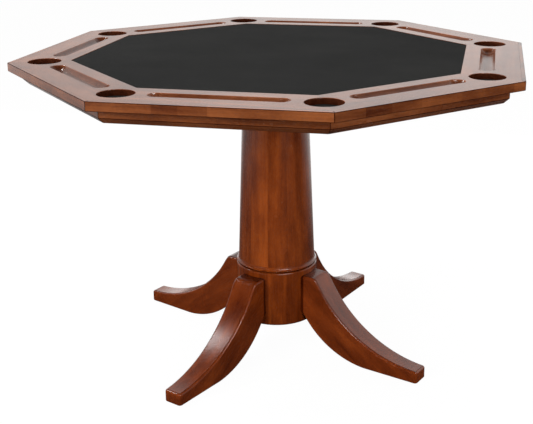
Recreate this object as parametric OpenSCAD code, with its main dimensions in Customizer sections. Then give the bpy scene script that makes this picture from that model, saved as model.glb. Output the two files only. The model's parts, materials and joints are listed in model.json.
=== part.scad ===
// Octagonal two-in-one game table: a loose reversible top lying on a framed pedestal.
// Millimetres. +Z is up and the origin is on the floor, at the middle of the pedestal.
// The flats of the octagon face +X, +Y, -X, -Y and the four directions between them.

/* [Top] */
// Distance across the flats of the top
top_across = 1219; // [1190:1:1250]
// Height of the playing surface above the floor
top_height = 787; // [760:1:820]
// Thickness of the top
top_thickness = 21; // [21:0.5:24]
// Thickness of the dining face, which is the top's other side
face_thickness = 6; // [4:0.5:6]
// Width of the solid strip that edges the top
strip_width = 9; // [6:0.5:12]
// Rounding along the strip's outer edges
strip_round = 1.5; // [0.5:0.1:3]
// Distance across the flats of the felt
felt_across = 938; // [920:1:950]
// Depth of the felt below the wooden rim
felt_recess = 1; // [0.5:0.1:1.5]
// Thickness of the felt
felt_thickness = 1; // [0.5:0.1:2]

/* [Recesses] */
// Radius of a cup recess
cup_radius = 40.7; // [34:0.1:43]
// Distance from the felt's edge to the middle of a cup recess
cup_setback = 58.5; // [52:0.5:62]
// Thickness of the pad in a cup recess
cup_pad_thickness = 1.5; // [1:0.1:3]
// Overall length of a chip tray
tray_length = 302; // [280:1:320]
// Radius of the round bottom of a chip tray
tray_radius = 20.5; // [19:0.1:22]
// Distance from the felt's edge to the middle line of a chip tray
tray_setback = 56; // [52:0.5:62]
// Depth of the straight part of a chip tray
tray_depth = 11.5; // [9:0.1:12]
// Extra depth of the dished ends of a chip tray
tray_end_drop = 2.5; // [0.5:0.1:2.5]

/* [Frame] */
// Distance across the flats of the frame under the top
apron_across = 1155; // [1120:1:1170]
// Height of a frame board
apron_height = 32; // [30:0.5:36]
// Thickness of a frame board
apron_thickness = 22; // [20:0.5:26]
// Size of the slope along the frame's lower edge
apron_slope = 12.5; // [8:0.5:16]
// Thickness of the soft pads that the top rests on
pad_thickness = 2; // [1:0.5:4]
// Width of a cross rail
rail_width = 90; // [80:1:110]
// Depth of the housing that takes the end of a cross rail
rail_housing = 6; // [3:0.5:10]
// Length of a corner block along each board
block_length = 60; // [40:1:80]

/* [Pedestal] */
// Radius of the column at its head
column_head_radius = 82.6; // [78:0.1:90]
// Radius of the column at its foot
column_foot_radius = 100.9; // [95:0.1:102]
// Height of the column's foot above the floor
column_foot_height = 241; // [238:1:246]
// Thickness of a stave
stave_thickness = 22; // [18:0.5:28]
// Radius of the turned ring below the column
ring_radius = 106.5; // [104:0.1:109]
// Height of the turned ring
ring_height = 12; // [11:0.5:14]
// Height of the shadow gap below the ring
gap_height = 2; // [1:0.5:4]
// Radius of the hub
hub_radius = 107; // [104:0.5:112]
// Height of the hub's underside above the floor
hub_bottom = 80; // [76:1:84]
// Radius of the hollow in the hub
hub_hollow_radius = 70; // [64:1:74]

/* [Legs] */
// Distance from the middle of the table to the end of a leg
leg_reach = 438; // [430:1:442]
// Height of a leg where it meets the hub
leg_height = 212; // [206:1:218]
// Width of a leg at the hub
leg_root_width = 70; // [60:1:76]
// Width of a leg at its end
leg_tip_width = 50; // [44:1:56]
// Height of the end face of a leg
leg_tip_height = 31; // [26:1:38]
// Size of the corners cut off a leg's end, seen from above
leg_tip_corner = 4; // [1:0.5:12]
// Radius of the hollow curve along the top of a leg
leg_top_curve = 333; // [320:1:345]
// Radius of the curve under a leg
leg_under_curve = 228; // [222:1:250]

/* [Fixings] */
// Radius of a leg bolt
bolt_radius = 4; // [3:0.1:5]
// Radius of the tie rod
rod_radius = 5; // [4:0.1:6]
// Gap around a bolt or rod in a through hole
hole_gap = 0.5; // [0.3:0.1:1]
// Radius of a plate screw
screw_radius = 2.5; // [2:0.1:3]

/* [Hidden] */
$fn = 96;
sides = 8;
half = 180 / sides;
slope = tan(half);
glue = 0.04;

rim_top = top_height;
top_bottom = top_height - top_thickness;
rim_bottom = top_bottom + face_thickness;
top_a = top_across / 2;
board_a = top_a - strip_width;
felt_a = felt_across / 2;
felt_gap = 0.4;
felt_top = rim_top - felt_recess;
core_top = felt_top - felt_thickness;

cup_distance = (felt_a + cup_setback) / cos(half);
cup_pad_radius = cup_radius - 0.7;
tray_a = felt_a + tray_setback;
end_depth = tray_depth + tray_end_drop;
end_reach = sqrt(pow(tray_radius, 2) - pow(tray_radius - end_depth, 2));
end_y = tray_length / 2 - end_reach;

apron_top = top_bottom - pad_thickness;
apron_bottom = apron_top - apron_height;
apron_a = apron_across / 2;
apron_inner = apron_a - apron_thickness;
pad_radius = 9;
pad_distance = (apron_a - apron_thickness / 2) / cos(half);
block_inset = 4;
plate_thickness = 12;
plate_top = apron_bottom + plate_thickness;
plate_a = 165;
rail_half = apron_inner + rail_housing;
rail_thickness = apron_top - plate_top;
rail_well = 16;

stave_count = 12;
stave_angle = 360 / stave_count;
foot_z = column_foot_height;
head_z = apron_bottom;
plug_height = 24;
stave_gap = 0.05;
taper = (column_foot_radius - column_head_radius) / (head_z - foot_z);
inner_foot = column_foot_radius - stave_thickness;
inner_head = column_head_radius - stave_thickness;
ring_bottom = foot_z - ring_height;
ring_lip = 2.5;
hub_top = ring_bottom - gap_height;
hub_height = hub_top - hub_bottom;
gap_radius = 100;
hub_round = 5;
hub_deck = 14;
cap_inset = 4;
cap_height = 14;

leg_turn = 67.5;
leg_start = 40;
sole_cut = 0.5;
overrun = 10;
top_centre_r = leg_reach + 2;
top_centre_z = leg_tip_height + leg_top_curve;
under_centre_r = leg_reach - 135;

bolt_low_z = 134;
bolt_high_z = 182;
bolt_inner = hub_hollow_radius - 16;
bolt_outer = hub_radius + 32;
nut_height = 6.5;
nut_radius = bolt_radius * 1.85;
flange_height = 1.5;
rod_nut_height = 8;
rod_nut_radius = rod_radius * 1.9;
rod_end = 3;
cap_bottom = hub_bottom + cap_inset;
screw_x = 125;
screw_y = 26;
screw_top = apron_top - 6;
head_radius = screw_radius * 2;
head_height = 2.5;

rim_colour = [0.53, 0.30, 0.19];
strip_colour = [0.55, 0.29, 0.16];
strip_colour_dark = [0.49, 0.24, 0.13];
face_colour = [0.50, 0.26, 0.15];
core_colour = [0.72, 0.58, 0.42];
felt_colour = [0.16, 0.17, 0.165];
apron_colour = [0.50, 0.24, 0.12];
block_colour = [0.66, 0.50, 0.33];
stave_colour = [0.48, 0.25, 0.13];
stave_colour_dark = [0.40, 0.17, 0.08];
hub_colour = [0.42, 0.19, 0.09];
leg_colour = [0.38, 0.17, 0.09];
steel_colour = [0.62, 0.62, 0.64];

// ---- shared shapes ----

// Octagon of apothem a, lying flat.
module octagon(a) {
    rotate(half)
        circle(r = a / cos(half), $fn = 8);
}

// One mitred side of an octagonal band, seen from above, with room for glue at its ends.
module mitred_side(inner, outer) {
    near = inner * slope - glue;
    far = outer * slope - glue;
    polygon([[inner, -near], [outer, -far], [outer, far], [inner, near]]);
}

// A moulding of the given section run along one side and mitred at both ends.
module mitred_run(inner, outer) {
    length = 2 * outer * slope + 20;
    intersection() {
        translate([0, length / 2, 0])
            rotate([90, 0, 0])
                linear_extrude(height = length)
                    children();
        translate([0, 0, -20])
            linear_extrude(height = top_height + 40)
                mitred_side(inner, outer);
    }
}

// ---- the loose top ----

// Cup recess on the corner line at the given angle, right through the rim.
module cup_cut(angle) {
    rotate(angle)
        translate([cup_distance, 0, rim_bottom - 1])
            cylinder(h = rim_top - rim_bottom + 2, r = cup_radius);
}

// Round-bottomed tray with a deeper dish at each end.
module tray_cut() {
    translate([tray_a, 0, rim_top - tray_depth + tray_radius])
        rotate([90, 0, 0])
            cylinder(h = 2 * end_y, r = tray_radius, center = true);
    for (y = [-end_y, end_y])
        translate([tray_a, y, rim_top - end_depth + tray_radius])
            sphere(r = tray_radius);
}

module rim_board(index) {
    color(rim_colour)
        rotate(index * 2 * half)
            difference() {
                translate([0, 0, rim_bottom])
                    linear_extrude(height = rim_top - rim_bottom)
                        mitred_side(felt_a, board_a - glue);
                cup_cut(half);
                cup_cut(-half);
                tray_cut();
            }
}

// Section of the edging strip: square inside, rounded at the two outer edges.
module strip_section() {
    round_x = top_a - strip_round;
    translate([board_a, top_bottom])
        square([round_x - board_a, top_thickness]);
    translate([board_a, top_bottom + strip_round])
        square([strip_width, top_thickness - 2 * strip_round]);
    for (z = [top_bottom + strip_round, rim_top - strip_round])
        translate([round_x, z])
            circle(r = strip_round);
}

module edge_strip(index) {
    color(index % 2 == 0 ? strip_colour : strip_colour_dark)
        rotate(index * 2 * half)
            mitred_run(board_a, top_a)
                strip_section();
}

module core_panel() {
    color(core_colour)
        translate([0, 0, rim_bottom])
            linear_extrude(height = core_top - rim_bottom)
                octagon(felt_a - glue);
}

module felt_cloth() {
    color(felt_colour)
        translate([0, 0, core_top])
            linear_extrude(height = felt_thickness)
                octagon(felt_a - felt_gap);
}

module dining_face() {
    color(face_colour)
        translate([0, 0, top_bottom])
            linear_extrude(height = face_thickness)
                octagon(board_a - glue);
}

module cup_pads() {
    color(felt_colour)
        for (i = [0 : sides - 1])
            rotate(half + i * 2 * half)
                translate([cup_distance, 0, rim_bottom])
                    cylinder(h = cup_pad_thickness, r = cup_pad_radius);
}

// ---- the frame under the top ----

// Section of a frame board: upright outer face with a slope along its lower edge.
module apron_section() {
    polygon([
        [apron_inner, apron_bottom],
        [apron_a - apron_slope, apron_bottom],
        [apron_a, apron_bottom + apron_slope],
        [apron_a, apron_top],
        [apron_inner, apron_top]
    ]);
}

module apron_board(index) {
    color(apron_colour)
        rotate(index * 2 * half)
            difference() {
                mitred_run(apron_inner - 1, apron_a)
                    apron_section();
                if (index % 2 == 0)
                    translate([apron_inner - 1, -rail_width / 2, plate_top])
                        cube([rail_housing + 1, rail_width, rail_thickness + 1]);
            }
}

module corner_blocks() {
    corner = (apron_inner - glue) / cos(half);
    back = corner - block_length * sin(half);
    spread = block_length * cos(half);
    color(block_colour)
        for (i = [0 : sides - 1])
            rotate(half + i * 2 * half)
                translate([0, 0, apron_bottom + block_inset])
                    linear_extrude(height = apron_height - 2 * block_inset)
                        polygon([[corner, 0], [back, spread], [back, -spread]]);
}

module rest_pads() {
    color(felt_colour)
        for (i = [0 : sides - 1])
            rotate(half + i * 2 * half)
                translate([pad_distance, 0, apron_top])
                    cylinder(h = pad_thickness - glue / 2, r = pad_radius);
}

// Cross rail along X, halved over its neighbour from the side given.
module cross_rail(lap_z) {
    difference() {
        translate([-rail_half, -rail_width / 2, plate_top])
            cube([2 * rail_half, rail_width, rail_thickness]);
        translate([-rail_width / 2, -rail_width, lap_z])
            cube([rail_width, 2 * rail_width, rail_thickness]);
        cylinder(h = 2 * top_height, r = rail_well);
        screw_holes();
    }
}

// Shanks of the screws that hold the plate to the rails.
module screw_holes() {
    for (turn = [0 : 90 : 270])
        rotate(turn)
            for (y = [-screw_y, screw_y])
                translate([screw_x, y, apron_bottom])
                    cylinder(h = screw_top - apron_bottom, r = screw_radius);
}

module support_rail_1() {
    color(block_colour)
        cross_rail(plate_top + rail_thickness / 2);
}

module support_rail_2() {
    color(block_colour)
        rotate(90)
            cross_rail(plate_top - rail_thickness / 2);
}

module top_plate() {
    color(block_colour)
        difference() {
            translate([0, 0, apron_bottom])
                linear_extrude(height = plate_thickness)
                    octagon(plate_a);
            rod_hole();
            screw_holes();
        }
}

module plate_screws() {
    color(steel_colour) {
        screw_holes();
        for (turn = [0 : 90 : 270])
            rotate(turn)
                for (y = [-screw_y, screw_y])
                    translate([screw_x, y, apron_bottom - head_height])
                        cylinder(h = head_height, r = head_radius);
    }
}

// ---- the pedestal ----

module rod_hole() {
    cylinder(h = 2 * top_height, r = rod_radius + hole_gap);
}

// Tapered stave: one slice of the hollow column.
module column_stave(index) {
    color(index % 2 == 0 ? stave_colour : stave_colour_dark)
        rotate(index * stave_angle)
            rotate_extrude(angle = stave_angle - stave_gap)
                polygon([
                    [inner_foot, foot_z],
                    [column_foot_radius, foot_z],
                    [column_head_radius, head_z],
                    [inner_head, head_z]
                ]);
}

// Disc that closes the hollow column between two heights.
module column_plug(low, high) {
    bore = inner_foot - glue;
    difference() {
        rotate_extrude()
            polygon([
                [0, low],
                [bore - taper * (low - foot_z), low],
                [bore - taper * (high - foot_z), high],
                [0, high]
            ]);
        rod_hole();
    }
}

module column_head_plug() {
    color(block_colour)
        column_plug(head_z - plug_height, head_z);
}

module column_foot_plug() {
    color(block_colour)
        column_plug(foot_z, foot_z + plug_height);
}

// Turned ring: it flares out below the column in a hollow curve, and its neck makes the shadow gap.
module column_ring() {
    flare = ring_height - ring_lip;
    color(hub_colour)
        difference() {
            rotate_extrude() {
                difference() {
                    translate([0, ring_bottom])
                        square([ring_radius, ring_height - glue]);
                    translate([column_foot_radius + flare, foot_z])
                        circle(r = flare);
                }
                translate([0, hub_top])
                    square([gap_radius, gap_height]);
            }
            rod_hole();
        }
}

// The two bolts of one leg, one above the other, pointing along +X.
module bolt_pair() {
    for (z = [bolt_low_z, bolt_high_z])
        translate([0, 0, z])
            rotate([0, 90, 0])
                children();
}

// Bolt positions around the hub: a pair at each leg.
module at_bolts() {
    for (turn = [0 : 90 : 270])
        rotate(leg_turn + turn)
            bolt_pair()
                children();
}

module hub() {
    color(hub_colour)
        difference() {
            rotate_extrude() {
                translate([0, hub_bottom])
                    square([hub_radius - hub_round, hub_height]);
                translate([0, hub_bottom + hub_round])
                    square([hub_radius, hub_height - 2 * hub_round]);
                for (z = [hub_bottom + hub_round, hub_top - hub_round])
                    translate([hub_radius - hub_round, z])
                        circle(r = hub_round);
            }
            translate([0, 0, hub_bottom - 1])
                cylinder(h = hub_height - hub_deck + 1, r = hub_hollow_radius);
            rod_hole();
            at_bolts()
                cylinder(h = hub_radius + 10, r = bolt_radius + hole_gap);
        }
}

module hub_cap() {
    color(hub_colour)
        difference() {
            translate([0, 0, cap_bottom])
                cylinder(h = cap_height, r = hub_hollow_radius - glue);
            rod_hole();
        }
}

// Side view of a leg: distance from the middle of the table against height.
module leg_side() {
    difference() {
        intersection() {
            union() {
                translate([under_centre_r, leg_under_curve - sole_cut])
                    circle(r = leg_under_curve);
                translate([under_centre_r, 0])
                    square([leg_reach - under_centre_r + overrun, leg_height]);
            }
            translate([leg_start, 0])
                square([leg_reach - leg_start + overrun, leg_height]);
        }
        translate([top_centre_r, top_centre_z])
            circle(r = leg_top_curve);
    }
}

// Top view of a leg: narrowing outwards, with its end corners cut off.
module leg_plan() {
    root = leg_root_width / 2;
    tip = leg_tip_width / 2;
    shoulder = leg_reach - leg_tip_corner;
    polygon([
        [leg_start, -root],
        [hub_radius, -root],
        [shoulder, -tip],
        [leg_reach, leg_tip_corner - tip],
        [leg_reach, tip - leg_tip_corner],
        [shoulder, tip],
        [hub_radius, root],
        [leg_start, root]
    ]);
}

module leg(index) {
    color(leg_colour)
        rotate(leg_turn + index * 90)
            difference() {
                intersection() {
                    translate([0, leg_root_width, 0])
                        rotate([90, 0, 0])
                            linear_extrude(height = 2 * leg_root_width)
                                leg_side();
                    translate([0, 0, -1])
                        linear_extrude(height = leg_height + 2)
                            leg_plan();
                }
                translate([0, 0, -1])
                    cylinder(h = leg_height + 2, r = hub_radius + glue);
                bolt_pair()
                    cylinder(h = bolt_outer, r = bolt_radius);
            }
}

// ---- fixings ----

module leg_bolts() {
    color(steel_colour)
        at_bolts()
            translate([0, 0, bolt_inner])
                cylinder(h = bolt_outer - bolt_inner, r = bolt_radius);
}

// Hexagon nut with a round flange at its base, bored for its thread.
module flange_nut(height, across_r, bore_r) {
    difference() {
        union() {
            cylinder(h = height, r = across_r, $fn = 6);
            cylinder(h = flange_height, r = across_r + 1.5);
        }
        translate([0, 0, -1])
            cylinder(h = height + 2, r = bore_r);
    }
}

// The nuts bear on a flat seat that stands just inside the hollow of the hub.
module leg_nuts() {
    seat = sqrt(pow(hub_hollow_radius, 2) - pow(nut_radius + 1.5, 2));
    color(steel_colour)
        at_bolts()
            translate([0, 0, seat])
                mirror([0, 0, 1])
                    flange_nut(nut_height, nut_radius, bolt_radius);
}

module tie_rod() {
    low = cap_bottom - rod_nut_height - rod_end;
    high = plate_top + rod_nut_height + rod_end;
    color(steel_colour)
        translate([0, 0, low])
            cylinder(h = high - low, r = rod_radius);
}

module tie_nuts() {
    color(steel_colour) {
        translate([0, 0, plate_top])
            flange_nut(rod_nut_height, rod_nut_radius, rod_radius);
        translate([0, 0, cap_bottom])
            mirror([0, 0, 1])
                flange_nut(rod_nut_height, rod_nut_radius, rod_radius);
    }
}

// ---- one module for each repeated piece ----

module rim_board_1() {
    rim_board(0);
}

module rim_board_2() {
    rim_board(1);
}

module rim_board_3() {
    rim_board(2);
}

module rim_board_4() {
    rim_board(3);
}

module rim_board_5() {
    rim_board(4);
}

module rim_board_6() {
    rim_board(5);
}

module rim_board_7() {
    rim_board(6);
}

module rim_board_8() {
    rim_board(7);
}

module edge_strip_1() {
    edge_strip(0);
}

module edge_strip_2() {
    edge_strip(1);
}

module edge_strip_3() {
    edge_strip(2);
}

module edge_strip_4() {
    edge_strip(3);
}

module edge_strip_5() {
    edge_strip(4);
}

module edge_strip_6() {
    edge_strip(5);
}

module edge_strip_7() {
    edge_strip(6);
}

module edge_strip_8() {
    edge_strip(7);
}

module apron_board_1() {
    apron_board(0);
}

module apron_board_2() {
    apron_board(1);
}

module apron_board_3() {
    apron_board(2);
}

module apron_board_4() {
    apron_board(3);
}

module apron_board_5() {
    apron_board(4);
}

module apron_board_6() {
    apron_board(5);
}

module apron_board_7() {
    apron_board(6);
}

module apron_board_8() {
    apron_board(7);
}

module column_stave_1() {
    column_stave(0);
}

module column_stave_2() {
    column_stave(1);
}

module column_stave_3() {
    column_stave(2);
}

module column_stave_4() {
    column_stave(3);
}

module column_stave_5() {
    column_stave(4);
}

module column_stave_6() {
    column_stave(5);
}

module column_stave_7() {
    column_stave(6);
}

module column_stave_8() {
    column_stave(7);
}

module column_stave_9() {
    column_stave(8);
}

module column_stave_10() {
    column_stave(9);
}

module column_stave_11() {
    column_stave(10);
}

module column_stave_12() {
    column_stave(11);
}

module leg_1() {
    leg(0);
}

module leg_2() {
    leg(1);
}

module leg_3() {
    leg(2);
}

module leg_4() {
    leg(3);
}

// ---- what is drawn ----

rim_board_1();
rim_board_2();
rim_board_3();
rim_board_4();
rim_board_5();
rim_board_6();
rim_board_7();
rim_board_8();
edge_strip_1();
edge_strip_2();
edge_strip_3();
edge_strip_4();
edge_strip_5();
edge_strip_6();
edge_strip_7();
edge_strip_8();
core_panel();
felt_cloth();
dining_face();
cup_pads();
apron_board_1();
apron_board_2();
apron_board_3();
apron_board_4();
apron_board_5();
apron_board_6();
apron_board_7();
apron_board_8();
corner_blocks();
rest_pads();
support_rail_1();
support_rail_2();
top_plate();
plate_screws();
column_stave_1();
column_stave_2();
column_stave_3();
column_stave_4();
column_stave_5();
column_stave_6();
column_stave_7();
column_stave_8();
column_stave_9();
column_stave_10();
column_stave_11();
column_stave_12();
column_head_plug();
column_foot_plug();
column_ring();
hub();
hub_cap();
leg_1();
leg_2();
leg_3();
leg_4();
leg_bolts();
leg_nuts();
tie_rod();
tie_nuts();
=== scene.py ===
"""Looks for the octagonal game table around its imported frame: grained wood, felt and steel. Metres, +Z up."""

import json
import math
import random

import bmesh
import bpy
from mathutils import Matrix, Vector
from mathutils.bvhtree import BVHTree


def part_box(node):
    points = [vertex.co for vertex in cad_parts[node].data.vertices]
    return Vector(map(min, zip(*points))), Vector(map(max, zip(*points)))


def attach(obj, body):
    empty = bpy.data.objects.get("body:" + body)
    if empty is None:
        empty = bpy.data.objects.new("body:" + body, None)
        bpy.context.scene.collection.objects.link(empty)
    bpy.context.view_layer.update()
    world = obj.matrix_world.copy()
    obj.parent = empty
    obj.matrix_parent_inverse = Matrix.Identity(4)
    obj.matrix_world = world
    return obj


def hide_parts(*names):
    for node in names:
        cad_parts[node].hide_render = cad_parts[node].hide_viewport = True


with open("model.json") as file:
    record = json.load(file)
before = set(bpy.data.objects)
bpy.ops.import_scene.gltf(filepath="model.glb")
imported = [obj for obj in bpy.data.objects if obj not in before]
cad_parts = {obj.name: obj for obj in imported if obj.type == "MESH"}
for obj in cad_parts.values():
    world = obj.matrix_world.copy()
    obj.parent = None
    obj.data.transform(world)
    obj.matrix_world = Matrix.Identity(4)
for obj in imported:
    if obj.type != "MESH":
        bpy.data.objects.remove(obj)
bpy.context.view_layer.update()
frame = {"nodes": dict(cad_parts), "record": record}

SIDES = 8
HALF = math.radians(22.5)


# ---- camera ----

CAMERA_PLACE = (0.532386, -2.341416, 1.21371)
CAMERA_AHEAD = (-0.222697, 0.935605, -0.273952)
CAMERA_ROLL = -0.0109
LENS_MM = 64.73
SENSOR_MM = 36.0
SHIFT_UP = -0.1163


def make_camera():
    data = bpy.data.cameras.new("camera")
    data.sensor_fit = "HORIZONTAL"
    data.sensor_width = SENSOR_MM
    data.lens = LENS_MM
    data.shift_y = SHIFT_UP
    data.clip_start, data.clip_end = 0.05, 60.0
    camera = bpy.data.objects.new("camera", data)
    bpy.context.scene.collection.objects.link(camera)
    ahead = Vector(CAMERA_AHEAD).normalized()
    side = ahead.cross(Vector((0, 0, 1))).normalized()
    up = side.cross(ahead)
    right = side * math.cos(CAMERA_ROLL) + up * math.sin(CAMERA_ROLL)
    top = right.cross(ahead)
    turn = Matrix((right, top, -ahead)).transposed()
    camera.matrix_world = Matrix.Translation(CAMERA_PLACE) @ turn.to_4x4()
    bpy.context.scene.camera = camera


make_camera()


# ---- studio ----

BACK_WALL = 0.9              # strength of the world's light behind the table
FRONT_WALL = 0.015           # and in front of it
LEFT_WALL_SHARE = 0.68       # what is left of it far to the left
WALL_WHITE = (1.0, 0.995, 0.985, 1)
FLOOR_WHITE = 0.97
FLOOR_GREY = (0.05, 0.05, 0.05, 1)
FLOOR_REACH = 14.0
FLOOR_Z = -0.0002            # just below the soles


def link(tree, a, b):
    tree.links.new(a, b)


def axes(tree, output):
    """X, Y and Z of one of the texture coordinates."""
    where = tree.nodes.new("ShaderNodeTexCoord")
    parts = tree.nodes.new("ShaderNodeSeparateXYZ")
    link(tree, where.outputs[output], parts.inputs[0])
    return parts.outputs


def smooth_range(tree, value, start, end, at_start, at_end):
    """A soft change from at_start to at_end while value goes from start to end."""
    n = tree.nodes.new("ShaderNodeMapRange")
    n.interpolation_type = "SMOOTHSTEP"
    n.inputs["From Min"].default_value = start
    n.inputs["From Max"].default_value = end
    n.inputs["To Min"].default_value = at_start
    n.inputs["To Max"].default_value = at_end
    link(tree, value, n.inputs["Value"])
    return n.outputs["Result"]


def joined(tree, kind, first, second, operation=None):
    """A two-input node over two sockets: kind is Math or AddShader."""
    n = tree.nodes.new("ShaderNode" + kind)
    if operation:
        n.operation = operation
    link(tree, first, n.inputs[0])
    link(tree, second, n.inputs[1])
    return n.outputs[0]


def make_world():
    """White behind the table, dark in front, and white all round to the camera."""
    world = bpy.data.worlds.new("studio")
    bpy.context.scene.world = world
    world.use_nodes = True
    tree = world.node_tree
    tree.nodes.clear()
    out = tree.nodes.new("ShaderNodeOutputWorld")
    back = tree.nodes.new("ShaderNodeBackground")
    way = axes(tree, "Generated")
    depth = smooth_range(tree, way["Y"], -0.15, 0.55, FRONT_WALL, BACK_WALL)
    left = smooth_range(tree, way["X"], -0.50, -0.20, LEFT_WALL_SHARE, 1.0)
    sight = tree.nodes.new("ShaderNodeLightPath")
    mix = tree.nodes.new("ShaderNodeMix")
    mix.data_type = "FLOAT"
    link(tree, sight.outputs["Is Camera Ray"], mix.inputs[0])
    link(tree, joined(tree, "Math", depth, left, "MULTIPLY"), mix.inputs[2])
    mix.inputs[3].default_value = 1.0
    back.inputs["Color"].default_value = WALL_WHITE
    link(tree, mix.outputs[0], back.inputs["Strength"])
    link(tree, back.outputs[0], out.inputs["Surface"])


def area_light(name, place, target, size, power, mirrored=False):
    data = bpy.data.lights.new(name, "AREA")
    data.shape = "RECTANGLE"
    data.size, data.size_y = size
    data.energy = power
    light = bpy.data.objects.new(name, data)
    bpy.context.scene.collection.objects.link(light)
    light.location = place
    light.visible_glossy = mirrored
    light.rotation_mode = "QUATERNION"
    light.rotation_quaternion = (Vector(target) - Vector(place)).to_track_quat("-Z", "Y")
    return light


def make_floor():
    """A white floor to the camera, a grey one lit from behind and from the left to every other ray, clear below."""
    mesh = bpy.data.meshes.new("floor")
    square = ((-1, -1), (1, -1), (1, 1), (-1, 1))
    mesh.from_pydata([(x * FLOOR_REACH, y * FLOOR_REACH, FLOOR_Z) for x, y in square], [], [(0, 1, 2, 3)])
    floor = bpy.data.objects.new("floor", mesh)
    bpy.context.scene.collection.objects.link(floor)
    paint = bpy.data.materials.new("floor_paint")
    paint.use_nodes = True
    tree = paint.node_tree
    tree.nodes.clear()
    out = tree.nodes.new("ShaderNodeOutputMaterial")
    place = axes(tree, "Object")
    depth = smooth_range(tree, place["Y"], 0.3, 2.6, 0.0, 0.85)
    left = smooth_range(tree, place["X"], -1.2, -2.8, 0.0, 0.4)
    lit = tree.nodes.new("ShaderNodeEmission")
    link(tree, joined(tree, "Math", depth, left, "MAXIMUM"), lit.inputs["Strength"])
    glow = tree.nodes.new("ShaderNodeEmission")
    glow.inputs["Color"].default_value = (1, 1, 1, 1)
    glow.inputs["Strength"].default_value = FLOOR_WHITE
    dull = tree.nodes.new("ShaderNodeBsdfDiffuse")
    dull.inputs["Color"].default_value = FLOOR_GREY
    unseen = joined(tree, "AddShader", dull.outputs[0], lit.outputs[0])
    seen = joined(tree, "AddShader", glow.outputs[0], dull.outputs[0])
    sight = tree.nodes.new("ShaderNodeLightPath")
    facing = tree.nodes.new("ShaderNodeNewGeometry")
    clear = tree.nodes.new("ShaderNodeBsdfTransparent")
    surface = unseen
    for share, other in ((sight.outputs["Is Camera Ray"], seen), (facing.outputs["Backfacing"], clear.outputs[0])):
        mix = tree.nodes.new("ShaderNodeMixShader")
        link(tree, share, mix.inputs[0])
        link(tree, surface, mix.inputs[1])
        link(tree, other, mix.inputs[2])
        surface = mix.outputs[0]
    link(tree, surface, out.inputs["Surface"])
    mesh.materials.append(paint)


make_world()
make_floor()
area_light("key", (-1.9, -3.0, 1.7), (0, 0, 0.4), (1.8, 1.8), 84)
area_light("fill", (2.4, -2.4, 1.1), (0, 0, 0.4), (1.8, 1.8), 50)
area_light("overhead", (0.2, 0.4, 3.0), (0, 0, 0.5), (2.4, 2.4), 24)
area_light("left_box", (-1.68, 0.04, 1.98), (0, 0, 0.2), (0.42, 0.42), 14, mirrored=True)
low_box = area_light("low_box", (-0.5, 2.3, 0.36), (-0.5, 0, 0.36), (3.2, 0.66), 7, mirrored=True)
low_box.visible_camera = False
edge_box = area_light("edge_box", (0.9, -1.35, 1.65), (0, -0.1, 0.15), (1.1, 0.35), 15, mirrored=True)
edge_box.visible_camera = False
edge_box.visible_diffuse = False
scene = bpy.context.scene
scene.view_settings.view_transform = "Standard"
scene.view_settings.look = "None"


# ---- materials ----

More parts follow.
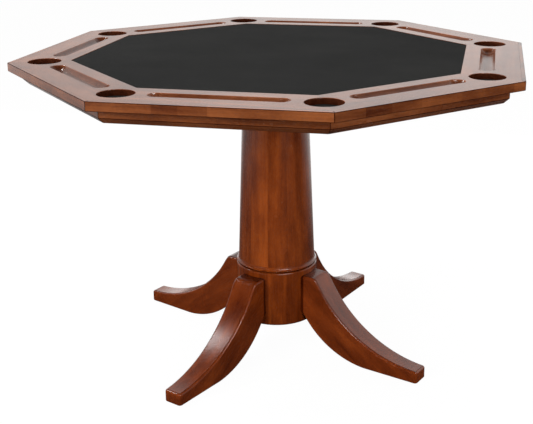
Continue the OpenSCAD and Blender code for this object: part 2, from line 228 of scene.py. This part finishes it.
class Nodes:
    """Short calls for building a node tree."""

    def __init__(self, name):
        self.material = bpy.data.materials.new(name)
        self.material.use_nodes = True
        self.tree = self.material.node_tree
        self.tree.nodes.clear()
        out = self.tree.nodes.new("ShaderNodeOutputMaterial")
        self.shader = self.tree.nodes.new("ShaderNodeBsdfPrincipled")
        link(self.tree, self.shader.outputs[0], out.inputs["Surface"])

    def put(self, socket, value):
        """Links a socket to another one, or gives it a plain value or colour."""
        if isinstance(value, bpy.types.NodeSocket):
            link(self.tree, value, socket)
            return
        if isinstance(value, tuple) and len(value) == 3 and socket.type == "RGBA":
            value = (*value, 1)
        socket.default_value = value

    def attribute(self, name, output="Vector"):
        n = self.tree.nodes.new("ShaderNodeAttribute")
        n.attribute_name = name
        return n.outputs[output]

    def math(self, op, a, b=0.0, c=0.0, clamp=False):
        n = self.tree.nodes.new("ShaderNodeMath")
        n.operation, n.use_clamp = op, clamp
        for socket, value in zip(n.inputs, (a, b, c)):
            self.put(socket, value)
        return n.outputs[0]

    def vector_math(self, op, a, b):
        n = self.tree.nodes.new("ShaderNodeVectorMath")
        n.operation = op
        self.put(n.inputs[0], a)
        self.put(n.inputs[1], b)
        return n.outputs[0]

    def noise(self, vector, scale, detail=3.0, rough=0.55, warp=0.0, output="Fac"):
        """Noise with scale waves to the metre, given for each axis."""
        n = self.tree.nodes.new("ShaderNodeTexNoise")
        n.noise_dimensions = "3D"
        self.put(n.inputs["Vector"], self.vector_math("MULTIPLY", vector, scale))
        n.inputs["Scale"].default_value = 1.0
        n.inputs["Detail"].default_value = detail
        n.inputs["Roughness"].default_value = rough
        n.inputs["Distortion"].default_value = warp
        return n.outputs[output]

    def upward(self):
        """How far the surface looks up, 1 for a level face."""
        return axes(self.tree, "Normal")["Z"]

    def steps(self, vector, count):
        """A random value for each of count lengths to the metre along X, of uneven length."""
        x = self.tree.nodes.new("ShaderNodeSeparateXYZ")
        self.put(x.inputs[0], vector)
        uneven = self.noise(vector, (count * 0.35, 0.0, 0.0), 0.0)
        place = self.math("MULTIPLY_ADD", x.outputs[0], count, self.math("MULTIPLY", uneven, 2.5))
        n = self.tree.nodes.new("ShaderNodeTexWhiteNoise")
        n.noise_dimensions = "1D"
        self.put(n.inputs["W"], self.math("FLOOR", place))
        return n.outputs["Value"]

    def spread(self, value, low, high, to_low=0.0, to_high=1.0):
        n = self.tree.nodes.new("ShaderNodeMapRange")
        n.clamp = True
        self.put(n.inputs["Value"], value)
        n.inputs["From Min"].default_value = low
        n.inputs["From Max"].default_value = high
        n.inputs["To Min"].default_value = to_low
        n.inputs["To Max"].default_value = to_high
        return n.outputs["Result"]

    def ramp(self, value, stops):
        n = self.tree.nodes.new("ShaderNodeValToRGB")
        self.put(n.inputs[0], value)
        marks = n.color_ramp.elements
        marks[0].position, marks[1].position = stops[0][0], stops[-1][0]
        marks[0].color, marks[1].color = (*stops[0][1], 1), (*stops[-1][1], 1)
        for place, colour in stops[1:-1]:
            marks.new(place).color = (*colour, 1)
        return n.outputs[0]

    def mix(self, share, a, b, mode="MIX"):
        n = self.tree.nodes.new("ShaderNodeMix")
        n.data_type, n.blend_type = "RGBA", mode
        n.clamp_factor = True
        self.put(n.inputs[0], share)
        self.put(n.inputs[6], a)
        self.put(n.inputs[7], b)
        return n.outputs[2]

    def bump(self, height, strength, distance):
        n = self.tree.nodes.new("ShaderNodeBump")
        n.inputs["Strength"].default_value = strength
        n.inputs["Distance"].default_value = distance
        self.put(n.inputs["Height"], height)
        link(self.tree, n.outputs[0], self.shader.inputs["Normal"])

    def set(self, **values):
        for name, value in values.items():
            self.put(self.shader.inputs[name.replace("_", " ")], value)


STAIN_STOPS = (0.08, 0.5, 0.92)
TONE_SHARE = 0.30
BLOCK_SHARE = 0.4
PORE_DARK, PORE_SHARE = 0.35, 0.45
# painted shade in creases, recesses and gaps, and dark joint lines: what is left of the colour and of the gloss
SHADE_AND_JOINT_COLOUR, SHADE_AND_JOINT_DULLING = (0.22, 0.15, 0.15), 0.85
# rubbed edges: lighter as wear, and partly as a painted highlight line
WEAR_AND_HIGHLIGHT_LIGHT, WEAR_AND_HIGHLIGHT_SHARE = 1.9, 0.45


def cubed(scale):
    return (scale, scale, scale)


def along(length, width):
    """A noise scale for wood: length along the grain, width across and through it."""
    return (length, width, width)


def stain_ramp(n, shade, stains):
    return n.ramp(shade, list(zip(STAIN_STOPS, stains)))


def wood(name, stains, rough=0.22, coat=0.5, figure=1.0, bare=False, blocks=0.0, crown=None):
    """Stained wood under lacquer. The grain attribute is metres along, across and through the board, tone is its
    shade, and edge is 1 on rubbed edges, lighter as wear and partly as a painted highlight, and below 0 where the
    colour is darkened as painted shade in creases, recesses and gaps, and along dark joint lines. blocks is joined
    lengths to the metre.
    crown holds the stains of a face that looks straight up."""
    n = Nodes(name)
    grain = n.attribute("grain")
    tone = n.attribute("tone", "Fac")
    edge = n.attribute("edge", "Fac")
    bend = n.vector_math("MULTIPLY", n.noise(grain, along(3.0, 9.0), 2.0, output="Color"), (0.0, 0.012, 0.012))
    path = n.vector_math("ADD", grain, bend)
    flame = n.noise(path, along(2.2, 34.0), 3.0, 0.5, 0.6)
    band = n.noise(path, along(5.0, 150.0), 3.0, 0.6)
    fibre = n.noise(path, along(22.0, 900.0), 2.0, 0.6)
    pore = n.noise(path, along(70.0, 2100.0), 1.0, 0.5)
    blotch = n.noise(grain, along(9.0, 17.0), 3.0, 0.6)
    mottle = n.noise(grain, along(120.0, 210.0), 2.0, 0.6)
    fog = n.noise(grain, cubed(14.0), 2.0)

    parts = [(flame, 1.25 * figure), (band, 0.55 * figure), (fibre, 0.34), (blotch, 0.95), (mottle, 0.30)]
    if blocks:
        parts.append((n.steps(grain, blocks), BLOCK_SHARE))
    shade = n.math("MULTIPLY", tone, TONE_SHARE)
    for part, share in parts:
        shade = n.math("MULTIPLY_ADD", n.math("SUBTRACT", part, 0.5), share, shade)
    shade = n.math("ADD", shade, 0.5, clamp=True)
    colour = stain_ramp(n, shade, stains)
    if crown:
        colour = n.mix(n.spread(n.upward(), 0.8, 0.95), colour, stain_ramp(n, shade, crown))

    dark, _, light = stains
    pores = n.spread(pore, 0.60, 0.70)
    colour = n.mix(n.math("MULTIPLY", pores, PORE_SHARE), colour, tuple(c * PORE_DARK for c in dark))
    # below 0 the edge value darkens the colour as painted shade, and as dark joint lines at mitres and staves
    shade_and_joints = n.math("MULTIPLY", edge, -1.0, clamp=True)
    colour = n.mix(shade_and_joints, colour, SHADE_AND_JOINT_COLOUR, "MULTIPLY")
    if not bare:
        # edges above 0 are lighter in patches: wear, and partly a painted highlight line
        patchy = n.spread(n.noise(grain, along(30.0, 60.0), 3.0), 0.35, 0.65)
        wear_and_highlight = n.math("MULTIPLY", n.math("ADD", edge, 0.0, clamp=True), patchy)
        rubbed_and_highlit = tuple(min(1.0, c * WEAR_AND_HIGHLIGHT_LIGHT + 0.01) for c in light)
        colour = n.mix(n.math("MULTIPLY", wear_and_highlight, WEAR_AND_HIGHLIGHT_SHARE), colour, rubbed_and_highlit)

    # the painted shade and the joint lines also take gloss away
    gloss = n.math("MULTIPLY_ADD", shade_and_joints, -SHADE_AND_JOINT_DULLING, 1.0)
    haze = n.math("MULTIPLY_ADD", pores, 0.12, n.spread(fog, 0.3, 0.7, rough * 0.85, rough * 1.25))
    n.set(Base_Color=colour, Roughness=haze, Coat_Weight=0.0 if bare else n.math("MULTIPLY", gloss, coat),
          Coat_Roughness=rough * 0.8, Specular_IOR_Level=n.math("MULTIPLY", gloss, 0.5), IOR=1.5)
    height = n.math("MULTIPLY_ADD", fibre, 0.5, n.math("MULTIPLY", pores, -0.8))
    height = n.math("MULTIPLY_ADD", fog, 0.7, height)
    n.bump(height, 0.9 if bare else 0.35, 0.00012)
    return n.material


def felt(name, dark, light):
    """Pressed wool felt: matted fibres, a little lint and a soft sheen."""
    n = Nodes(name)
    spot = n.attribute("grain")
    mat = n.noise(spot, cubed(900.0), 4.0, 0.7, 1.5)
    fibre = n.noise(spot, (2600.0, 700.0, 1500.0), 2.0, 0.6, 2.0)
    cloud = n.noise(spot, cubed(6.0), 3.0)
    lint = n.spread(n.noise(spot, cubed(420.0), 1.0), 0.74, 0.80)
    shade = 0.5
    for part, share in ((mat, 0.9), (fibre, 0.5), (cloud, 0.6)):
        shade = n.math("MULTIPLY_ADD", n.math("SUBTRACT", part, 0.5), share, shade)
    colour = n.ramp(shade, [(0.1, dark), (0.9, light)])
    colour = n.mix(n.math("MULTIPLY", lint, 0.25), colour, tuple(c * 3 for c in light))
    n.set(Base_Color=colour, Roughness=0.92, Sheen_Weight=0.02, Sheen_Roughness=0.5, Specular_IOR_Level=0.02)
    n.bump(n.math("MULTIPLY_ADD", fibre, 0.6, mat), 0.8, 0.0006)
    return n.material


def steel(name):
    """Zinc-plated steel with turning marks and a few dull spots."""
    n = Nodes(name)
    spot = n.attribute("grain")
    marks = n.noise(spot, along(1500.0, 90.0), 2.0)
    spots = n.noise(spot, cubed(260.0), 3.0)
    colour = n.ramp(spots, [(0.35, (0.30, 0.30, 0.31)), (0.6, (0.56, 0.56, 0.58))])
    rough = n.math("MULTIPLY_ADD", marks, 0.2, n.spread(spots, 0.3, 0.7, 0.38, 0.2))
    n.set(Base_Color=colour, Metallic=1.0, Roughness=rough)
    n.bump(marks, 0.3, 0.00008)
    return n.material


def made_from(base, dark=0.42, light=1.75):
    """Dark, middle and light stains of one wood: the dark one is redder, the light one yellower."""
    r, g, b = base
    low = (r * dark, g * dark * 0.78, b * dark * 0.7)
    high = (min(1, r * light), min(1, g * light * 1.12), min(1, b * light * 1.15))
    return low, base, high


RIM_STAINS = made_from((0.240, 0.072, 0.028))
STRIP_STAINS = made_from((0.210, 0.056, 0.016))
FACE_STAINS = made_from((0.220, 0.056, 0.014))
CORE_STAINS = made_from((0.45, 0.30, 0.16), 0.7, 1.3)
APRON_STAINS = made_from((0.200, 0.052, 0.014))
PALE_STAINS = made_from((0.42, 0.25, 0.12), 0.6, 1.35)
STAVE_STAINS = made_from((0.270, 0.050, 0.007))
HUB_STAINS = made_from((0.200, 0.034, 0.004))
LEG_STAINS = made_from((0.220, 0.038, 0.006))
MATERIALS = {
    "rim_wood": wood("rim_wood", RIM_STAINS, rough=0.17, coat=0.3, figure=0.8),
    "strip_wood": wood("strip_wood", STRIP_STAINS, rough=0.17, coat=0.3, blocks=12.0, crown=RIM_STAINS),
    "face_wood": wood("face_wood", FACE_STAINS, rough=0.22, coat=0.4),
    "core_board": wood("core_board", CORE_STAINS, rough=0.6, figure=0.4, bare=True),
    "apron_wood": wood("apron_wood", APRON_STAINS, rough=0.24, coat=0.4),
    "pale_wood": wood("pale_wood", PALE_STAINS, rough=0.6, figure=0.8, bare=True),
    "stave_wood": wood("stave_wood", STAVE_STAINS, rough=0.22, coat=0.4, figure=0.8),
    "hub_wood": wood("hub_wood", HUB_STAINS, rough=0.22, coat=0.4),
    "leg_wood": wood("leg_wood", LEG_STAINS, rough=0.24, coat=0.4, figure=0.55),
    "felt": felt("felt", (0.009, 0.009, 0.009), (0.026, 0.026, 0.025)),
    "steel": steel("steel"),
}


# ---- meshes ----

WELD = 2e-6
FLAT = math.radians(0.6)
SHARP = math.radians(28)
SHADE_SHARP = math.radians(40)
NEAR = 1e-4
KEEP = (0, 0)                # radius and edge value of an edge that stays as it is
DARK_JOINT_AND_SHADE = -1.0                # edge value of a dark line: a dark joint at the mitres, painted shade in gaps and on rounded edges
# edge value of painted shade in the cups, in the leg's quirk and where the legs meet the hub
DEEP_PAINTED_SHADE = -0.9
SLOT_OF = {s["node"]: s["material_slot"] for s in frame["record"]["subparts"]}
BODY_OF = {n: b for b, nodes in frame["record"]["behaviour"]["bodies"].items() for n in nodes}


def edge_layer(b):
    return b.faces.layers.float.get("edge_of_face") or b.faces.layers.float.new("edge_of_face")


def shape_of(node):
    """A CAD node's surface as a clean bmesh with flat faces merged."""
    b = bmesh.new()
    b.from_mesh(frame["nodes"][node].data)
    bmesh.ops.remove_doubles(b, verts=b.verts, dist=WELD)
    bmesh.ops.dissolve_limit(b, angle_limit=FLAT, verts=b.verts, edges=b.edges)
    return b


def round_edges(b, radius_of, segments):
    """Rounds sharp edges. radius_of(edge) gives an edge's radius, 0 to leave it, and its new faces' edge value."""
    groups = {}
    for e in b.edges:
        if len(e.link_faces) == 2 and e.calc_face_angle(0) > SHARP:
            radius, value = radius_of(e)
            if radius > 0:
                groups.setdefault((radius, value), []).append(e)
    mark = edge_layer(b)
    for radius, value in sorted(groups, reverse=True):
        edges = [e for e in groups[radius, value] if e.is_valid]
        made = bmesh.ops.bevel(b, geom=edges, offset=radius, offset_type="OFFSET", segments=segments, profile=0.5,
                               affect="EDGES", clamp_overlap=True, loop_slide=True)
        for f in made["faces"]:
            f[mark] = value


def finish_piece(b, node, material, grain_of, tone):
    """Turns a bmesh into the piece that replaces a node, with its grain, tone and edge attributes."""
    name = node + "_look"
    mesh = bpy.data.meshes.new(name)
    mark = edge_layer(b)
    b.normal_update()
    edges = [f[mark] for f in b.faces for _ in f.loops]
    b.faces.layers.float.remove(mark)
    b.to_mesh(mesh)
    b.free()
    for p in mesh.polygons:
        p.use_smooth = True
    mesh.set_sharp_from_angle(angle=SHADE_SHARP)
    points = [v.co.copy() for v in mesh.vertices]
    for label, kind, domain, field, values in (
        ("grain", "FLOAT_VECTOR", "POINT", "vector", [c for p in points for c in grain_of(p)]),
        ("tone", "FLOAT", "POINT", "value", [tone] * len(points)),
        ("edge", "FLOAT", "CORNER", "value", edges),
    ):
        mesh.attributes.new(label, kind, domain).data.foreach_set(field, values)
    piece = bpy.data.objects.new(name, mesh)
    bpy.context.scene.collection.objects.link(piece)
    mesh.materials.append(material)
    piece.modifiers.new("weighted", "WEIGHTED_NORMAL").keep_sharp = True
    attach(piece, BODY_OF[node])
    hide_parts(node)
    return piece


def turned(angle):
    return Matrix.Rotation(-angle, 3, "Z")


def rng(name):
    return random.Random("table " + name)


def offset_of(name):
    """Where in the wood a piece was cut."""
    r = rng(name)
    return Vector((r.uniform(-9, 9), r.uniform(-9, 9), r.uniform(-9, 9)))


def material_for(node):
    """A node's slot and material. A dark slot shares its wood, as the tone attribute shades each board."""
    slot = SLOT_OF[node]
    return slot, MATERIALS[slot.replace("_dark", "")]


def remake(node, radius_of, grain_of, tone=0.0, segments=3, painted_shade_of=None):
    """A rounded, grained piece in a CAD node's exact place. The face function gives each CAD face its edge value,
    below 0 for painted shade.
    """
    slot, material = material_for(node)
    shift = offset_of(node)
    b = shape_of(node)
    if painted_shade_of:
        mark = edge_layer(b)
        for f in b.faces:
            f[mark] = painted_shade_of(f)
    round_edges(b, radius_of, segments)
    return finish_piece(b, node, material, lambda p: grain_of(p) + shift, tone)


def along_side(turn):
    """Grain that runs along a side of the octagon."""
    def grain(p):
        q = turn @ p
        return Vector((q.y, q.x, q.z))
    return grain


def flat_grain(p):
    return p.copy()


def upright_grain(p):
    return Vector((p.z, p.x, p.y))


# value 1 by default: a lighter rubbed edge, partly a painted highlight
def all_edges(radius, value=1.0):
    return lambda e: (radius, value)


def on_mitre(p):
    return abs(abs(math.atan2(p.y, p.x)) - HALF) < 2e-3


# ---- the loose top ----

PAD_R = 0.040
TRAY_DEPTH = 0.014
LEVEL = 0.0005               # how far below the playing side still counts as on it
rim_low, rim_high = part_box("rim_board_1")
felt_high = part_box("felt_cloth")[1]
TOP_Z, FELT_A, RIM_A = rim_high.z, felt_high.x, rim_high.x
CUP_AT = (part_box("cup_pads")[1].x - PAD_R) / math.cos(HALF)
CUP_X, CUP_Y = CUP_AT * math.cos(HALF), CUP_AT * math.sin(HALF)

for i in range(SIDES):
    turn = turned(i * 2 * HALF)
    r = rng(f"rim {i}")

    def rim_radius(e, turn=turn):
        """Rounded where the playing side meets mitres, strip, felt, trays and cups."""
        p, q = (turn @ v.co for v in e.verts)
        if min(p.z, q.z) < TOP_Z - LEVEL:
            return KEEP
        if on_mitre(p) and on_mitre(q):
            return 0.0004, -0.8
        # the line where the top meets the strip is darkened as painted shade
        if min(p.x, q.x) > RIM_A - NEAR:
            return 0.0002, -0.8
        # the line where the top meets the felt is darkened as painted shade
        if max(p.x, q.x) < FELT_A + NEAR:
            return 0.0006, -0.5
        # the other top edges a little lighter: wear, partly a painted highlight
        return 0.0012, 0.2

    def rim_painted_shade(f, turn=turn):
        """Painted shade: darkest in the cups and, less, down the trays, growing with depth."""
        q = turn @ f.calc_center_median()
        hollow = rim_low.z + LEVEL <= q.z <= TOP_Z - 0.001 and FELT_A + 0.002 < q.x < RIM_A - 0.002
        if not hollow or on_mitre(q):
            return 0.0
        if math.hypot(q.x - CUP_X, abs(q.y) - CUP_Y) < PAD_R + 0.003:
            return DEEP_PAINTED_SHADE
        return -0.25 - 0.4 * min(1.0, (TOP_Z - q.z) / TRAY_DEPTH)

    remake(f"rim_board_{i + 1}", rim_radius, along_side(turn), tone=r.uniform(-0.25, 0.25), painted_shade_of=rim_painted_shade)

    def strip_radius(e, turn=turn):
        """Only the outer mitre edges are eased."""
        p, q = (turn @ v.co for v in e.verts)
        return (0.001, DARK_JOINT_AND_SHADE) if on_mitre(p) and on_mitre(q) and max(p.x, q.x) > RIM_A + 0.001 else KEEP

    def strip_painted_shade(f, turn=turn):
        """Painted shade: the rounded outer edges are darkened as a thin dark line."""
        way = turn @ f.normal
        return DARK_JOINT_AND_SHADE if way.x > 0.1 and abs(way.z) > 0.1 else 0.0

    remake(f"edge_strip_{i + 1}", strip_radius, along_side(turn), tone=r.uniform(-0.3, 0.3), painted_shade_of=strip_painted_shade)


def cloth_radius(e):
    return (0.0006, 0.0) if min(v.co.z for v in e.verts) > felt_high.z - NEAR else KEEP


remake("dining_face", all_edges(0), flat_grain)
remake("core_panel", all_edges(0), flat_grain)
remake("cup_pads", all_edges(0.0006), flat_grain)
cloth = remake("felt_cloth", cloth_radius, flat_grain)


# ---- the frame under the top ----

apron_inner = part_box("apron_board_1")[0].x

for i in range(SIDES):
    turn = turned(i * 2 * HALF)
    r = rng(f"apron {i}")

    def apron_radius(e, turn=turn):
        p, q = (turn @ v.co for v in e.verts)
        if on_mitre(p) and on_mitre(q):
            return 0.001, DARK_JOINT_AND_SHADE
        if min(p.x, q.x) < apron_inner + 0.002:
            return 0.0005, 1.0
        return 0.0015, 1.0

    remake(f"apron_board_{i + 1}", apron_radius, along_side(turn), tone=r.uniform(-0.3, 0.3))

remake("corner_blocks", all_edges(0.001), upright_grain)
remake("rest_pads", all_edges(0.0005), flat_grain)
remake("support_rail_1", all_edges(0.0012), flat_grain)
remake("support_rail_2", all_edges(0.0012), lambda p: Vector((p.y, p.x, p.z)))
remake("top_plate", all_edges(0.001), flat_grain)
remake("plate_screws", all_edges(0.0004), upright_grain)


# ---- the pedestal ----

STAVES = 12

for i in range(STAVES):
    r = rng(f"stave {i}")
    turn = turned((i + 0.5) * math.radians(360 / STAVES))

    def stave_grain(p, turn=turn):
        q = turn @ p
        return Vector((q.z, q.y, q.x))

    remake(f"column_stave_{i + 1}", all_edges(0.00015, -0.5), stave_grain, tone=r.uniform(-0.5, 0.5), segments=2)

for node in ("column_head_plug", "column_foot_plug", "hub_cap"):
    remake(node, all_edges(0.001), flat_grain)
ring_low, ring_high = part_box("column_ring")


def around_grain(p):
    return Vector((math.atan2(p.y, p.x) * 0.1, p.x, p.z))


def ring_painted_shade(f):
    """Painted shade: darker in the gap under the ring and round its widest line."""
    m = f.calc_center_median()
    return DARK_JOINT_AND_SHADE if m.z < ring_low.z + 0.0025 or math.hypot(m.x, m.y) > ring_high.x - 0.0003 else 0.0


remake("column_ring", all_edges(0.0006, 0.0), around_grain, painted_shade_of=ring_painted_shade)
# the hub's edges are darkened as painted shade, under the ring and at its foot
remake("hub", all_edges(0.0008, -0.5), upright_grain)


# ---- the legs ----

LEGS = 4
FIRST_LEG = 67.5         # degrees round from X
HUB_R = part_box("hub")[1].x
SEAT = 0.0002            # between the hub and a leg
ROUND = 0.005            # radius of the top edges
QUIRK = 0.0008           # depth of the fine line inside them
QUIRK_LIP = 0.0001       # how far its inner lip is eased
END_ROUND = 0.008        # radius of the foot's upright corners
SOLE_ROUND = 0.0025      # radius of the sole's edges
SHOULDER = 0.006         # length over which the shoulder's corner is softened
FIRST_STEP = 0.0022      # from the hub to the second station
STATIONS = 44
END_STEPS = 6
EDGE_STEPS = 5
ROOT_PAINTED_SHADE = -0.6        # edge value of the painted shade on the crown next to the hub
ROOT_REACH, ROOT_FADE = 0.036, 0.02


def leg_outline(node, turn):
    """A CAD leg's reach, and its top, underside and half-width along its length, in its own frame."""
    mesh = frame["nodes"][node].data
    tree = BVHTree.FromPolygons([turn @ v.co for v in mesh.vertices], [tuple(p.vertices) for p in mesh.polygons])
    reach = max((turn @ v.co).x for v in mesh.vertices)

    def cast(x, y, z, way):
        x = min(max(x, HUB_R + 0.0003), reach - 0.00005)
        return tree.ray_cast(Vector((x, y, z)), Vector(way))[0]

    def top(x):
        around = [cast(x + SHOULDER * k / 4, 0, 0.5, (0, 0, -1)).z for k in range(-4, 5)]
        return sum(around) / len(around)

    def under(x):
        return cast(x, 0, -0.1, (0, 0, 1)).z

    def half(x):
        return cast(min(x, reach - END_ROUND), 0.2, (top(x) + under(x)) / 2, (0, -1, 0)).y

    return reach, top, under, half


def quarter_turn(steps):
    return [math.radians(90 * k / steps) for k in range(steps + 1)]


def leg_shape(node, turn):
    """A leg as stacked rings round its plan: crown, quirk, rounded top edge, side and eased sole."""
    reach, top, under, half = leg_outline(node, turn)
    length = reach - END_ROUND - HUB_R
    stations = [HUB_R, HUB_R + FIRST_STEP] + [HUB_R + length * (k / STATIONS) for k in range(1, STATIONS + 1)]
    tip = half(reach)

    def on_hub(y):
        return math.sqrt(HUB_R ** 2 - y * y) + SEAT

    def ring(inset):
        side = [(x, half(x) - inset) for x in stations]
        side[0] = (on_hub(side[0][1]), side[0][1])
        bend = END_ROUND - inset
        side += [(reach - END_ROUND + bend * math.sin(t), tip - END_ROUND + bend * math.cos(t))
                 for t in quarter_turn(END_STEPS)[1:]]
        return [(x, -y) for x, y in side] + [(x, y) for x, y in reversed(side)]

    edge = quarter_turn(EDGE_STEPS)
    levels = [(ROUND + QUIRK, top, 0.0), (ROUND + 0.0004, top, -QUIRK_LIP), (ROUND + 0.0003, top, -QUIRK)]
    levels += [(ROUND * (1 - math.sin(t)), top, -QUIRK - ROUND * (1 - math.cos(t))) for t in edge]
    levels += [(SOLE_ROUND * (1 - math.cos(t)), under, SOLE_ROUND * (1 - math.sin(t))) for t in edge]

    b = bmesh.new()
    mark = edge_layer(b)
    rings = [[b.verts.new((x, y, face(x) + rise)) for x, y in ring(inset)] for inset, face, rise in levels]
    count = len(rings[0])
    for k, (upper, lower) in enumerate(zip(rings, rings[1:])):
        for j in range(count - 1):
            f = b.faces.new((upper[j], lower[j], lower[j + 1], upper[j + 1]))
            # the quirk and the faces against the hub are darkened as painted shade
            f[mark] = DEEP_PAINTED_SHADE if k < 2 or j in (0, count - 2) else 0.0

    def fill(rim, crown):
        """Closes the crown or the sole with rows of quads across it, and gives the row at the hub."""
        rows = []
        for j in range(count // 2):
            a, c = rim[j], rim[count - 1 - j]
            row = [a]
            for share in (0.25, 0.5, 0.75):
                y = a.co.y + (c.co.y - a.co.y) * share
                row.append(b.verts.new((a.co.x if j else on_hub(y), y, a.co.z)))
            rows.append(row + [c])
        for near, far in zip(rows, rows[1:]):
            # the crown's row at the hub and the part near it are darkened as painted shade, fading out along the
            # leg
            root = min(1.0, max(0.0, (HUB_R + ROOT_REACH - near[0].co.x) / ROOT_FADE)) if crown else 0.0
            for k in range(4):
                quad = (near[k], far[k], far[k + 1], near[k + 1])
                f = b.faces.new(quad if crown else quad[::-1])
                f[mark] = DEEP_PAINTED_SHADE if near is rows[0] else ROOT_PAINTED_SHADE * root
        return rows[0]

    crown_row = fill(rings[0], True)
    sole_row = fill(rings[-1], False)
    right = [row[-1] for row in rings[1:-1]]
    left = [row[0] for row in rings[-2:0:-1]]
    b.faces.new(crown_row + right + sole_row[::-1] + left)
    bmesh.ops.recalc_face_normals(b, faces=b.faces)
    b.transform(turn.inverted().to_4x4())
    return b


for i in range(LEGS):
    node = f"leg_{i + 1}"
    turn = turned(math.radians(FIRST_LEG + 90 * i))
    shift = offset_of(node)

    def leg_grain(p, turn=turn, shift=shift):
        """Grain that runs down the leg's slope, 4 along for 3 down."""
        q = turn @ p
        return Vector((q.x * 0.8 - q.z * 0.6, q.y, q.x * 0.6 + q.z * 0.8)) + shift

    slot, material = material_for(node)
    tone = rng(f"leg {i}").uniform(-0.3, 0.3)
    finish_piece(leg_shape(node, turn), node, material, leg_grain, tone)

for node in ("leg_bolts", "leg_nuts", "tie_rod", "tie_nuts"):
    remake(node, all_edges(0.0004), flat_grain)
